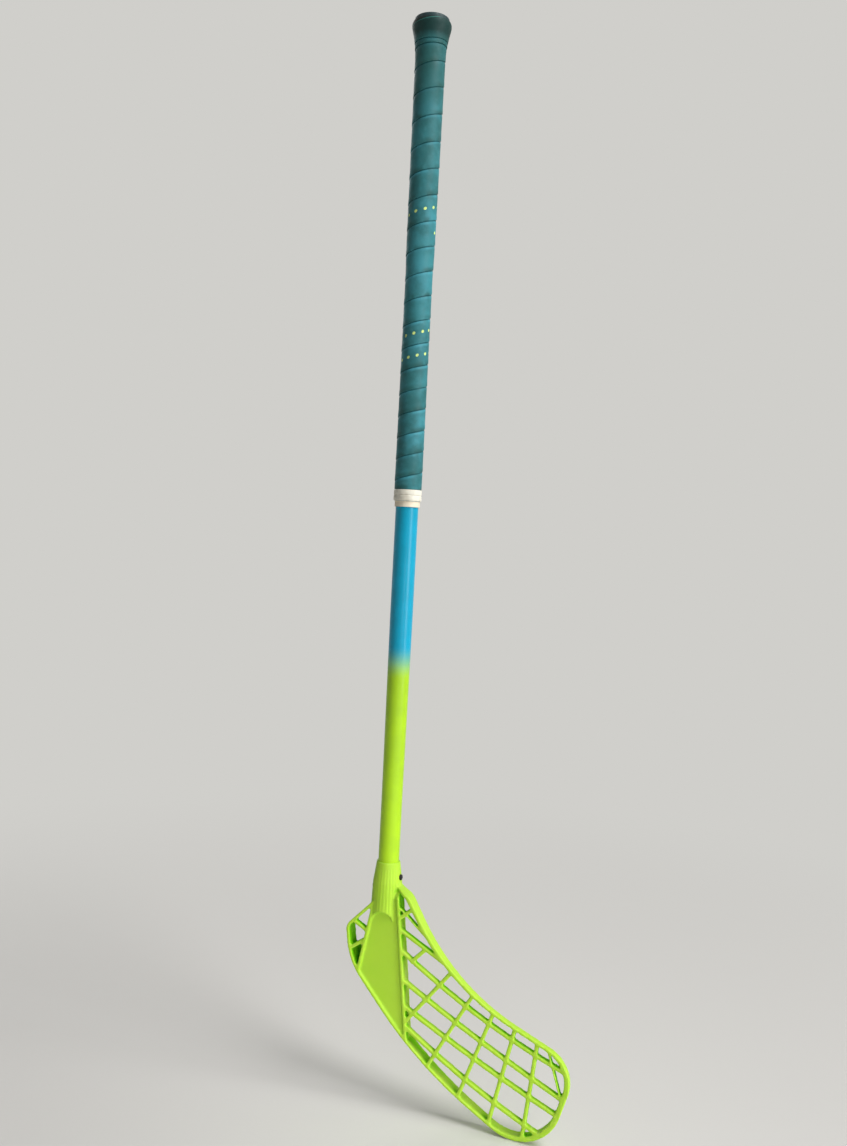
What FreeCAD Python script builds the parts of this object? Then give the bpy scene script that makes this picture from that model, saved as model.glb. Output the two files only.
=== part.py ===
"""Floorball stick: a hollow shaft, a lattice blade screwed to its lower end, and a wound grip with a cap.

The origin is the centre of the butt cap's flat top face. +Z runs up the shaft and out of the butt, so the
stick hangs below it. +X points to the blade's toe, and the blade's open front looks along -Y.
Sizes are millimetres.
"""
import FreeCAD, Part
import math
import os
import re
import Sketcher

Vector = FreeCAD.Vector
UP = Vector(0, 0, 1)

# Driving dimensions: name, value, what it measures
SIZES = [
    ("shaft_length", 858, "shaft tube from end to end"),
    ("shaft_dia", 22, "outside of the shaft above its taper"),
    ("shaft_wall", 1.5, "wall of the shaft tube"),
    ("taper_length", 170, "tapered stretch"),
    ("tip_length", 108, "untapered stretch below it, at the blade end"),
    ("tip_dia", 20.2, "outside of the shaft from the taper to the blade"),
    ("cap_dia", 34, "flange of the butt cap"),
    ("cap_thick", 4.5, "flange thickness"),
    ("cap_round", 1.8, "rounding of the flange's top edge"),
    ("spigot_length", 26, "plug of the cap, below its flange"),
    ("spigot_wall", 2, "wall of the hollow plug"),
    ("spigot_clear", 0.05, "running clearance of the plug in the shaft, per side"),
    ("seat_gap", 0.3, "between the flange and what it sits on"),
    ("layer_fit", 0.1, "between the layers of the grip, per side"),
    ("tape_thick", 1.9, "grip tape"),
    ("grip_length", 452.5, "taped length below the cap"),
    ("knob_top_dia", 36.6, "taped knob at its top edge"),
    ("knob_dia", 38.6, "taped knob at its widest"),
    ("knob_depth", 3, "widest place, below the top of the tape"),
    ("waist_dia", 32.2, "taped knob half way down its flare"),
    ("waist_depth", 18.5, "that place, below the top of the tape"),
    ("neck_dia", 29.1, "taped grip at the foot of the flare"),
    ("neck_depth", 33, "that place, below the top of the tape"),
    ("underlay_length", 224, "tapered foam under the tape"),
    ("underlay_end", 0.5, "foam thickness at its thin lower end"),
    ("underlay_fade", 20, "length over which the tape runs down off the foam"),
    ("turn_lead", 0.5, "turns over which the winding goes from level to its advance"),
    ("turn_top", 26.8, "advance of the tape below that, for each turn"),
    ("turn_end", 20.2, "advance of the last tape turn"),
    ("turn_gap", 0.6, "seam between neighbouring tape turns"),
    ("turn_first", 17, "top edge of the tape to the start of the seam"),
    ("turn_last", 10, "end of the seam to the lower edge of the tape"),
    ("ring_gap", 0.2, "between the tape, the grip ring and the finishing tape"),
    ("ring_width", 11, "grip ring along the shaft"),
    ("ring_dia", 27.2, "outside of the grip ring"),
    ("ring_round", 0.8, "rounding of the ring's edges"),
    ("finish_width", 5.6, "finishing tape along the shaft"),
    ("finish_dia", 24.1, "outside of the finishing tape"),
    ("socket_depth", 45.5, "length of shaft inside the blade"),
    ("socket_fit", 0.1, "between the shaft and the socket, per side and at the end"),
    ("socket_floor", 3, "closed end of the socket"),
    ("mouth_dia", 22.6, "outside of the socket at its mouth"),
    ("hosel_dia", 28.2, "outside of the socket below its flare"),
    ("hosel_flare", 20, "length of that flare"),
    ("foot_dia", 30.2, "outside of the socket at its foot"),
    ("foot_skirt", 6, "socket's outside carried on below its foot"),
    ("arch_dia", 21, "arch cut out of the front of that skirt"),
    ("arch_rise", 1.8, "top of that arch above the socket's foot"),
    ("flute_count", 20, "moulded flutes round the socket"),
    ("flute_dia", 1.6, "round of a flute"),
    ("flute_depth", 0.4, "depth of a flute at the foot"),
    ("screw_dia", 3, "blade screw shank"),
    ("screw_length", 7.2, "shank below the head"),
    ("screw_clear", 0.05, "clearance of the shank in the shaft, per side"),
    ("screw_gap", 0.1, "under a screw's head"),
    ("screw_hole_clear", 0.25, "clearance of the shank in the blade, per side"),
    ("head_dia", 5.5, "screw head"),
    ("head_thick", 2.2, "screw head"),
    ("head_round", 0.7, "rounding of the head"),
    ("drive_width", 2.7, "hexagon recess across its corners"),
    ("drive_depth", 1.2, "hexagon recess"),
    ("seat_wall", 2, "blade left under a screw's head"),
    ("seat_clear", 0.6, "round a screw's head, per side"),
    ("toe_screw_turn", 0, "degrees from the toe to the screw on the toe side, negative to the front"),
    ("toe_screw_drop", 14.9, "socket mouth to that screw"),
    ("heel_screw_turn", 180, "degrees from the toe to the screws on the heel side"),
    ("heel_screw_drop", 25.6, "socket mouth to the upper screw on the heel side"),
    ("heel_screw_pitch", 12, "upper to lower screw on the heel side"),
    ("rim_wall", 3, "thickness of the rim's wall"),
    ("toe_wall", 5, "the same round the toe"),
    ("blade_front", 12, "rim's front edge, in front of the shaft's line at the heel"),
    ("rim_depth", 18, "front to back of the rim at the heel"),
    ("upper_depth", 8, "front to back of the upper rim, half way to the toe"),
    ("lower_depth", 12.5, "front to back of the lower rim, half way to the toe"),
    ("toe_depth", 8, "front to back of the rim at the toe"),
    ("pocket_thick", 3, "back wall of the closed cell at the heel"),
    ("blade_bow", 1500, "radius of the blade's hook towards its front"),
    ("rib_width", 3.6, "lattice ribs"),
    ("rib_depth", 6, "lattice ribs, front to back"),
    ("rib_inset", 0.4, "ribs behind the rim's front edge"),
    ("fine_rib_width", 1.8, "thin ribs near the socket and the toe"),
    ("panel_inset", 2, "panel behind the rim's front edge"),
    ("panel_thick", 3, "panel between the strut and the spine"),
    ("spine_top", 14.5, "spine's distance from the shaft's line at the shoulder"),
    ("spine_rise", 19.5, "that place, above the socket's foot"),
    ("spine_foot", 28, "spine's distance from the shaft's line at the lower edge"),
    ("spine_drop", 101.5, "that place, below the socket's foot"),
    ("strut_top", 11, "strut's distance from the shaft's line, heel side, at the socket's foot"),
    ("strut_foot", 21.5, "the same at the lower edge"),
    ("strut_drop", 54.4, "that place, below the socket's foot"),
    ("shoulder_rise", 28.3, "where the blade's top edge leaves the socket, above its foot"),
    ("wing_rise", 10.7, "where the wing's top edge leaves the socket, above its foot"),
]

# Corners of the blade's outline: name, towards the toe, above the socket's foot, rounding
OUTLINE = [
    ("shoulder", 26.5, 19.5, 14),
    ("bend", 75, -58, 195),
    ("toe", 197.5, -104.5, 31),
    ("tip", 166.5, -204.5, 45),
    ("belly", 44, -138.5, 340),
    ("heel", -32, -50, 68),
    ("wing", -36.5, -16, 11),
]

# Long ribs, from the spine to the toe: below the socket's foot, slope in degrees, radius of the bend
LONG_RIBS = [
    ("long_b", 32, 35, 570),
    ("long_c", 60, 30, 1125),
    ("long_d", 84.5, 28, 1125),
    ("long_e", 103, 34.5, 620),
]

# Cross ribs, from edge to edge: place along the second long rib, lean in degrees
CROSS_RIBS = [
    ("cross_b", 29, 51.5),
    ("cross_c", 62.7, 61),
    ("cross_d", 91, 70),
    ("cross_e", 118, 77),
    ("cross_f", 145, 83.5),
    ("fine_cross", 175, 109),
]

# Short straight ribs: name, where it starts and where it ends, from the foot of the socket
SHORT_RIBS = [
    ("brace_a", 17.5, -2.2, 41.5, 17.6),
    ("brace_b", 31, -42, 45, -27.5),
    ("fine_long", 18, 7.4, 54, -23),
    ("top_long", 18.7, -13, 78.8, -44.2),
]
WING_RIBS = [
    ("wing_upper", -34.5, -7.8, -10.8, -21.2),
    ("wing_lower", -36.5, -41.3, -10.8, -24.2),
]

doc = FreeCAD.newDocument("floorball_stick")
sheet = doc.addObject("Spreadsheet::Sheet", "sizes")


def sized(names, rows):
    """Sheet rows for a table of named items, one cell for each of their sizes."""
    return [(f"{row[0]}_{name}", number, name) for row in rows for name, number in zip(names, row[1:])]


CELLS = (
    SIZES
    + sized(("x", "z", "round"), OUTLINE)
    + sized(("drop", "slope", "bend"), LONG_RIBS)
    + sized(("along", "lean"), CROSS_RIBS)
    + sized(("from_x", "from_z", "to_x", "to_z"), SHORT_RIBS + WING_RIBS)
)
for line, (alias, number, meaning) in enumerate(CELLS, start=1):
    sheet.set(f"A{line}", meaning)
    sheet.set(f"B{line}", str(number))
    sheet.setAlias(f"B{line}", alias)
doc.recompute()


def bound(words):
    """A size written in the sheet's words, as an expression that other objects can be bound to."""
    return re.sub(r"\b[a-z_]+\b(?!\()", lambda word: f"sizes.{word.group()}", words)


def size(words):
    """The present value of a size written in the sheet's words."""
    return float(sheet.evalExpression(bound(words)))


# Heights along the shaft, all measured from the butt cap's top face
SHAFT_TOP = "-(cap_thick + seat_gap)"
TAPER_TOP = "-(cap_thick + seat_gap + shaft_length - tip_length - taper_length)"
TAPER_END = "-(cap_thick + seat_gap + shaft_length - tip_length)"
SHAFT_END = "-(cap_thick + seat_gap + shaft_length)"
GRIP_END = "-(cap_thick + seat_gap + grip_length)"
RING_TOP = "-(cap_thick + seat_gap + grip_length + ring_gap)"
RING_END = "-(cap_thick + seat_gap + grip_length + ring_gap + ring_width)"
FINISH_TOP = "-(cap_thick + seat_gap + grip_length + 2 * ring_gap + ring_width)"
FINISH_END = "-(cap_thick + seat_gap + grip_length + 2 * ring_gap + ring_width + finish_width)"
MOUTH = "-(cap_thick + seat_gap + shaft_length - socket_depth)"
FOOT = "-(cap_thick + seat_gap + shaft_length + socket_fit + socket_floor)"

# Radii that neighbours share
SHAFT_BORE = "(shaft_dia / 2 - shaft_wall)"
OVER_SHAFT = "(shaft_dia / 2 + layer_fit)"
SCREW_SEAT = "(tip_dia / 2 + socket_fit + seat_wall)"


def origin_plane(body, role):
    """One of a body's own origin planes."""
    return [feature for feature in body.Origin.OriginFeatures if feature.Role == role][0]


def turned(name, corners):
    """A body turned about Z from a closed profile, its corners given as (radius, height) in words."""
    body = doc.addObject("PartDesign::Body", name)
    profile = body.newObject("Sketcher::SketchObject", f"{name}_profile")
    profile.AttachmentSupport = [(origin_plane(body, "XZ_Plane"), "")]
    profile.MapMode = "FlatFace"
    points = [Vector(size(radius), size(height), 0) for radius, height in corners]
    count = len(points)
    for index in range(count):
        profile.addGeometry(Part.LineSegment(points[index], points[(index + 1) % count]))
    for index in range(count):
        profile.addConstraint(Sketcher.Constraint("Coincident", index, 2, (index + 1) % count, 1))
    for index, (corner, point) in enumerate(zip(corners, points)):
        for kind, words, value in zip(("DistanceX", "DistanceY"), corner, point):
            place = profile.addConstraint(Sketcher.Constraint(kind, -1, 1, index, 1, value))
            profile.setExpression(f"Constraints[{place}]", bound(words))
    turn = body.newObject("PartDesign::Revolution", f"{name}_turn")
    turn.Profile = profile
    turn.ReferenceAxis = (profile, ["V_Axis"])
    turn.Angle = 360
    doc.recompute()
    return body


def rounded(body, words, wanted):
    """Rounds the edges of a turned body's circles that the test picks by radius and height."""
    base = body.Tip
    edges = []
    for number, edge in enumerate(base.Shape.Edges, start=1):
        if edge.Closed and wanted(edge.Curve.Radius, edge.Curve.Center.z):
            edges.append(f"Edge{number}")
    fillet = body.newObject("PartDesign::Fillet", f"{body.Name}_rounding")
    fillet.Base = (base, edges)
    fillet.setExpression("Radius", bound(words))
    doc.recompute()


def near(value, words):
    """True where a measured value is the size given in words."""
    return abs(value - size(words)) < 0.001


def outwards(turn):
    """The level direction that a turn about the shaft gives, with the toe at 0 and the blade's back at 90."""
    angle = math.radians(size(turn))
    return Vector(math.cos(angle), math.sin(angle), 0)


def cross_hole(name, radius, height, turn):
    """A round bar from the shaft's middle outwards, to drill with."""
    bar = doc.addObject("Part::Cylinder", name)
    bar.setExpression("Radius", bound(radius))
    bar.setExpression("Height", bound("shaft_dia"))
    bar.Placement = FreeCAD.Placement(Vector(0, 0, size(height)), FreeCAD.Rotation(UP, outwards(turn)))
    bar.setExpression("Placement.Base.z", bound(height))
    return bar


# Blade screws: name, where round the shaft it goes in, its height
SCREWS = [
    ("toe_side_screw", "toe_screw_turn", f"{MOUTH} - toe_screw_drop"),
    ("heel_side_upper_screw", "heel_screw_turn", f"{MOUTH} - heel_screw_drop"),
    ("heel_side_lower_screw", "heel_screw_turn", f"{MOUTH} - heel_screw_drop - heel_screw_pitch"),
]


def make_shaft():
    """The tube: straight under the grip, tapered towards the blade, drilled for the blade's screws."""
    tube = turned("shaft_tube", [
        (SHAFT_BORE, SHAFT_TOP),
        ("shaft_dia / 2", SHAFT_TOP),
        ("shaft_dia / 2", TAPER_TOP),
        ("tip_dia / 2", TAPER_END),
        ("tip_dia / 2", SHAFT_END),
        ("tip_dia / 2 - shaft_wall", SHAFT_END),
        ("tip_dia / 2 - shaft_wall", TAPER_END),
        (SHAFT_BORE, TAPER_TOP),
    ])
    bore = "screw_dia / 2 + screw_clear"
    drill = doc.addObject("Part::MultiFuse", "shaft_drill")
    drill.Shapes = [cross_hole(f"{name}_bar", bore, height, turn) for name, turn, height in SCREWS]
    shaft = doc.addObject("Part::Cut", "shaft")
    shaft.Base = tube
    shaft.Tool = drill
    return shaft


def make_butt_cap():
    """The end cap: a rounded flange that closes the shaft and a hollow plug inside it."""
    plug = f"{SHAFT_BORE} - spigot_clear"
    below = "-(cap_thick + spigot_length)"
    cap = turned("butt_cap", [
        ("0", "0"),
        ("cap_dia / 2", "0"),
        ("cap_dia / 2", "-cap_thick"),
        (plug, "-cap_thick"),
        (plug, below),
        (f"{plug} - spigot_wall", below),
        (f"{plug} - spigot_wall", "-cap_thick"),
        ("0", "-cap_thick"),
    ])
    rounded(cap, "cap_round", lambda radius, height: near(radius, "cap_dia / 2") and near(height, "0"))
    return cap


# The grip's flare over the tape: radius and height, from the top of the tape to where the foam ends
FLARE = [
    ("knob_top_dia / 2", SHAFT_TOP),
    ("knob_dia / 2", f"{SHAFT_TOP} - knob_depth"),
    ("waist_dia / 2", f"{SHAFT_TOP} - waist_depth"),
    ("neck_dia / 2", f"{SHAFT_TOP} - neck_depth"),
]
FOAM_END = f"{SHAFT_TOP} - underlay_length"


def make_underlay():
    """Foam sleeve on the shaft that gives the knob and the tapered upper grip their thickness."""
    outside = [(f"{radius} - tape_thick - layer_fit", height) for radius, height in FLARE]
    return turned("grip_underlay", [
        (OVER_SHAFT, SHAFT_TOP),
        *outside,
        (f"{OVER_SHAFT} + underlay_end", FOAM_END),
        (OVER_SHAFT, FOAM_END),
    ])


def tangent_arc(start, corner, end):
    """The arc from start to end that is tangent to the two equal legs of the corner between them."""
    middle = (start + end) * 0.5
    half = (end - start).Length / 2
    rise = (corner - middle).Length
    bend = 2 * math.atan2(rise, half)
    crown = middle + (corner - middle) * (half * math.tan(bend / 4) / rise)
    return Part.Arc(start, crown, end).toShape()


def biarc(start, leaving, end, arriving):
    """Two tangent arcs from start to end, with the given unit directions at the ends."""
    span = end - start
    both = leaving + arriving
    spread = 2 * (1 - leaving.dot(arriving))
    along = span.dot(both)
    reach = (math.sqrt(along ** 2 + spread * span.dot(span)) - along) / spread
    first = start + leaving * reach
    second = end - arriving * reach
    joint = (first + second) * 0.5
    return [tangent_arc(start, first, joint), tangent_arc(joint, second, end)]


def seam_turns():
    """How often the seam goes round, from the taped length and the advance of its turns."""
    advancing = 2 * size("grip_length - turn_first - turn_last") / size("turn_top + turn_end")
    return advancing + size("turn_lead")


def seam_point(turn, radius):
    """Place and direction of the tape's seam after some turns down from the butt, the first of them level."""
    lead = size("turn_lead")
    level_share = math.exp(-turn / lead)
    wound = turn - lead * (1 - level_share)
    shrink = size("turn_top - turn_end") / (seam_turns() - lead)
    depth = size("turn_first") + size("turn_top") * wound - shrink * wound ** 2 / 2
    pitch = (size("turn_top") - shrink * wound) * (1 - level_share)
    angle = -2 * math.pi * turn
    place = Vector(radius * math.cos(angle), radius * math.sin(angle), size(SHAFT_TOP) - depth)
    heading = Vector(2 * math.pi * radius * math.sin(angle), -2 * math.pi * radius * math.cos(angle), -pitch)
    return place, heading.normalize()


def make_grip_tape():
    """The grip: one band wound round the foam and the shaft, its turns parted by a thin winding seam."""
    inside = [(f"{radius} - tape_thick", height) for radius, height in reversed(FLARE)]
    on_foam = f"{OVER_SHAFT} + underlay_end + layer_fit"
    sleeve_corners = [
        *FLARE,
        (f"{on_foam} + tape_thick", FOAM_END),
        (f"{OVER_SHAFT} + tape_thick", f"{FOAM_END} - underlay_fade"),
        (f"{OVER_SHAFT} + tape_thick", GRIP_END),
        (OVER_SHAFT, GRIP_END),
        (OVER_SHAFT, f"{FOAM_END} - layer_fit"),
        (on_foam, f"{FOAM_END} - layer_fit"),
        (on_foam, FOAM_END),
        *inside,
    ]
    points = [Vector(size(radius), 0, size(height)) for radius, height in sleeve_corners]
    sleeve = Part.Face(Part.makePolygon(points + points[:1])).revolve(Vector(0, 0, 0), UP, 360)

    quarters = math.ceil(4 * seam_turns())
    path_radius = size("knob_dia / 2")
    stops = [seam_point(seam_turns() * index / quarters, path_radius) for index in range(quarters + 1)]
    path = []
    for (start, leaving), (end, arriving) in zip(stops, stops[1:]):
        path += biarc(start, leaving, end, arriving)
    gap = size("turn_gap")
    inner = size("shaft_dia / 2 - shaft_wall")
    outer = size("knob_dia / 2 + tape_thick")
    top = stops[0][0].z + gap / 2
    section = Part.makePolygon([
        Vector(inner, 0, top - gap),
        Vector(outer, 0, top - gap),
        Vector(outer, 0, top),
        Vector(inner, 0, top),
        Vector(inner, 0, top - gap),
    ])
    winding = Part.BRepOffsetAPI.MakePipeShell(Part.Wire(path))
    winding.setBiNormalMode(UP)
    winding.add(section, False, False)
    winding.build()
    winding.makeSolid()
    band = sleeve.cut(winding.shape())
    tape = doc.addObject("Part::Feature", "grip_tape")
    tape.Shape = band.Solids[0] if len(band.Solids) == 1 else band
    tape.Placement = FreeCAD.Placement()
    return tape


def seam_clearance():
    """Least distance across the seam between two turns, measured on points of both its edges."""
    radius = size(f"{OVER_SHAFT} + tape_thick")
    lift = Vector(0, 0, size("turn_gap"))
    samples = 48
    least = math.inf
    for index in range(math.floor(seam_turns() * samples)):
        lower = seam_point(index / samples, radius)[0]
        for step in range(-6, 7):
            upper = seam_point(max(0, (index + step / 4) / samples), radius)[0] + lift
            least = min(least, (upper - lower).Length)
    return least


def make_grip_ring():
    """The rubber ring that closes the lower end of the grip."""
    ring = turned("grip_ring", [
        (OVER_SHAFT, RING_TOP),
        ("ring_dia / 2", RING_TOP),
        ("ring_dia / 2", RING_END),
        (OVER_SHAFT, RING_END),
    ])
    rounded(ring, "ring_round", lambda radius, height: near(radius, "ring_dia / 2"))
    return ring


def make_finishing_tape():
    """The narrow tape below the ring."""
    return turned("finishing_tape", [
        (OVER_SHAFT, FINISH_TOP),
        ("finish_dia / 2", FINISH_TOP),
        ("finish_dia / 2", FINISH_END),
        (OVER_SHAFT, FINISH_END),
    ])


def make_screw(name, turn, height):
    """A round-headed screw with a hexagon recess, lying level with its head outside the blade."""
    screw = turned(name, [
        ("0", "head_thick"),
        ("head_dia / 2", "head_thick"),
        ("head_dia / 2", "0"),
        ("screw_dia / 2", "0"),
        ("screw_dia / 2", "-screw_length"),
        ("0", "-screw_length - screw_dia / 2"),
    ])
    rounded(screw, "head_round", lambda radius, z: near(radius, "head_dia / 2") and near(z, "head_thick"))
    drive = screw.newObject("PartDesign::SubtractivePrism", f"{name}_drive")
    drive.Polygon = 6
    drive.setExpression("Circumradius", bound("drive_width / 2"))
    drive.setExpression("Height", bound("drive_depth"))
    drive.AttachmentSupport = [(origin_plane(screw, "XY_Plane"), "")]
    drive.MapMode = "FlatFace"
    drive.setExpression("AttachmentOffset.Base.z", bound("head_thick - drive_depth"))
    seat = f"{SCREW_SEAT} + screw_gap"
    out = outwards(turn)
    place = out * size(seat) + UP * size(height)
    screw.Placement = FreeCAD.Placement(place, FreeCAD.Rotation(UP, out))
    screw.setExpression("Placement.Base.x", bound(f"({seat}) * cos({turn})"))
    screw.setExpression("Placement.Base.y", bound(f"({seat}) * sin({turn})"))
    screw.setExpression("Placement.Base.z", bound(height))
    return screw


# The blade is drawn in the XZ plane from the middle of the socket's foot, and these reach past all of it
BLADE_FAR = "4 * (toe_x + rim_depth)"


def flat(x, z):
    """A point of the blade's drawing."""
    return Vector(x, 0, z + size(FOOT))


def prism(wire):
    """What a closed wire of the drawing covers, from far in front of the blade to far behind it."""
    far = size(BLADE_FAR)
    face = Part.Face(wire)
    face.translate(Vector(0, -far, 0))
    return face.extrude(Vector(0, 2 * far, 0))


def area(points):
    """The prism on a polygon of the drawing."""
    return prism(Part.makePolygon([flat(x, z) for x, z in points + points[:1]]))


def strip(start, end, width, bend=None):
    """The prism on a rib of the drawing, straight or bent upwards to a radius."""
    (x0, z0), (x1, z1) = start, end
    half = width / 2
    run = Vector(x1 - x0, 0, z1 - z0).normalize()
    side = Vector(-run.z, 0, run.x) * half
    first = flat(x0, z0)
    last = flat(x1, z1)
    if bend is None:
        corners = [first + side, last + side, last - side, first - side, first + side]
        return prism(Part.makePolygon(corners))
    chord = (last - first).Length
    sag = bend - math.sqrt(bend ** 2 - (chord / 2) ** 2)
    middle = (first + last) * 0.5 - Vector(-run.z, 0, run.x) * sag
    upper = Part.Arc(first + side, middle + Vector(-run.z, 0, run.x) * half, last + side).toShape()
    lower = Part.Arc(last - side, middle - Vector(-run.z, 0, run.x) * half, first - side).toShape()
    ends = [Part.makeLine(last + side, last - side), Part.makeLine(first - side, first + side)]
    return prism(Part.Wire([upper, ends[0], lower, ends[1]]))


def outline():
    """The blade's outer edge: straight runs joined by tangent arcs, closed inside the socket."""
    inside = size("tip_dia / 2")
    corners = [(inside, size("shoulder_rise"), 0)]
    for name, *_ in OUTLINE:
        corners.append((size(f"{name}_x"), size(f"{name}_z"), size(f"{name}_round")))
    corners.append((-inside, size("wing_rise"), 0))
    edges = []
    last = None
    count = len(corners)
    for index, (x, z, radius) in enumerate(corners):
        here = flat(x, z)
        if radius == 0:
            entry, leave = here, here
        else:
            back = (flat(*corners[index - 1][:2]) - here).normalize()
            ahead = (flat(*corners[(index + 1) % count][:2]) - here).normalize()
            half_turn = (math.pi - back.getAngle(ahead)) / 2
            reach = radius * math.tan(half_turn)
            entry, leave = here + back * reach, here + ahead * reach
        if last is not None:
            edges.append(Part.makeLine(last, entry))
        else:
            begin = entry
        if radius:
            edges.append(tangent_arc(entry, here, leave))
        last = leave
    edges.append(Part.makeLine(last, begin))
    return Part.Wire(edges)


def slab(front, back):
    """The blade's hooked thickness between two depths, each given at the heel, half way and at the toe."""
    reach = size("toe_x + rim_depth")
    to_heel = Vector(-reach, 0, 0)

    def places(behind):
        """Points of a depth, level behind the heel and hooked forwards to the toe."""
        points = []
        for x, depth in zip((0, reach / 2, reach), behind):
            hook = x ** 2 / (2 * size("blade_bow"))
            points.append(Vector(x, depth - size("blade_front") - hook, size(MOUTH)))
        return points

    def curve(start, middle, end):
        """The parabola through three points."""
        parabola = Part.BezierCurve()
        parabola.setPoles([start, middle * 2 - (start + end) * 0.5, end])
        return parabola.toShape()

    fore = places(front)
    aft = places(back)
    edges = [
        Part.makeLine(fore[0] + to_heel, fore[0]),
        curve(*fore),
        Part.makeLine(fore[2], aft[2]),
        curve(*reversed(aft)),
        Part.makeLine(aft[0], aft[0] + to_heel),
        Part.makeLine(aft[0] + to_heel, fore[0] + to_heel),
    ]
    return Part.Face(Part.Wire(edges)).extrude(Vector(0, 0, -size(BLADE_FAR)))


def depths(*words):
    """Distances behind the rim's front edge at the heel, half way and at the toe, or one for all three."""
    values = tuple(size(word) for word in words)
    return values * 3 if len(values) == 1 else values


def rib_ends(name):
    """Start and end of a short rib."""
    start = (size(f"{name}_from_x"), size(f"{name}_from_z"))
    end = (size(f"{name}_to_x"), size(f"{name}_to_z"))
    return start, end


def rib_width(name):
    """Width of a cross rib or a short rib."""
    return size("fine_rib_width") if "fine" in name else size("rib_width")


def make_hosel():
    """The socket that takes the shaft: a flared outside with an arch over the panel, still solid inside."""
    corners = [
        ("0", MOUTH),
        ("mouth_dia / 2", MOUTH),
        ("hosel_dia / 2", f"{MOUTH} - hosel_flare"),
        ("foot_dia / 2", FOOT),
        ("foot_dia / 2", f"{FOOT} - foot_skirt"),
        ("0", f"{FOOT} - foot_skirt"),
    ]
    points = [Vector(size(radius), 0, size(height)) for radius, height in corners]
    body = Part.Face(Part.makePolygon(points + points[:1])).revolve(Vector(0, 0, 0), UP, 360)
    radius = size("arch_dia / 2")
    before = Vector(0, size("panel_inset - blade_front - foot_dia"), size(f"{FOOT} + arch_rise") - radius)
    return body.cut(Part.makeCylinder(radius, size("foot_dia"), before, Vector(0, 1, 0)))


def flutes():
    """Round bars along the socket's lower taper that cut its flutes, clear of the screws' sides."""
    radius = size("flute_dia / 2")
    low = size(FOOT)
    high = size(f"{MOUTH} - hosel_flare")
    low_place = size("foot_dia / 2 + flute_dia / 2 - flute_depth")
    high_place = size("hosel_dia / 2 + flute_dia / 2 - flute_depth")
    count = round(size("flute_count"))
    bars = []
    for index in range(count):
        angle = 2 * math.pi * (index + 0.5) / count
        out = Vector(math.cos(angle), math.sin(angle), 0)
        start = out * low_place + Vector(0, 0, low)
        end = out * high_place + Vector(0, 0, high)
        bars.append(Part.makeCylinder(radius, (end - start).Length, start, end - start))
    return bars


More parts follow.
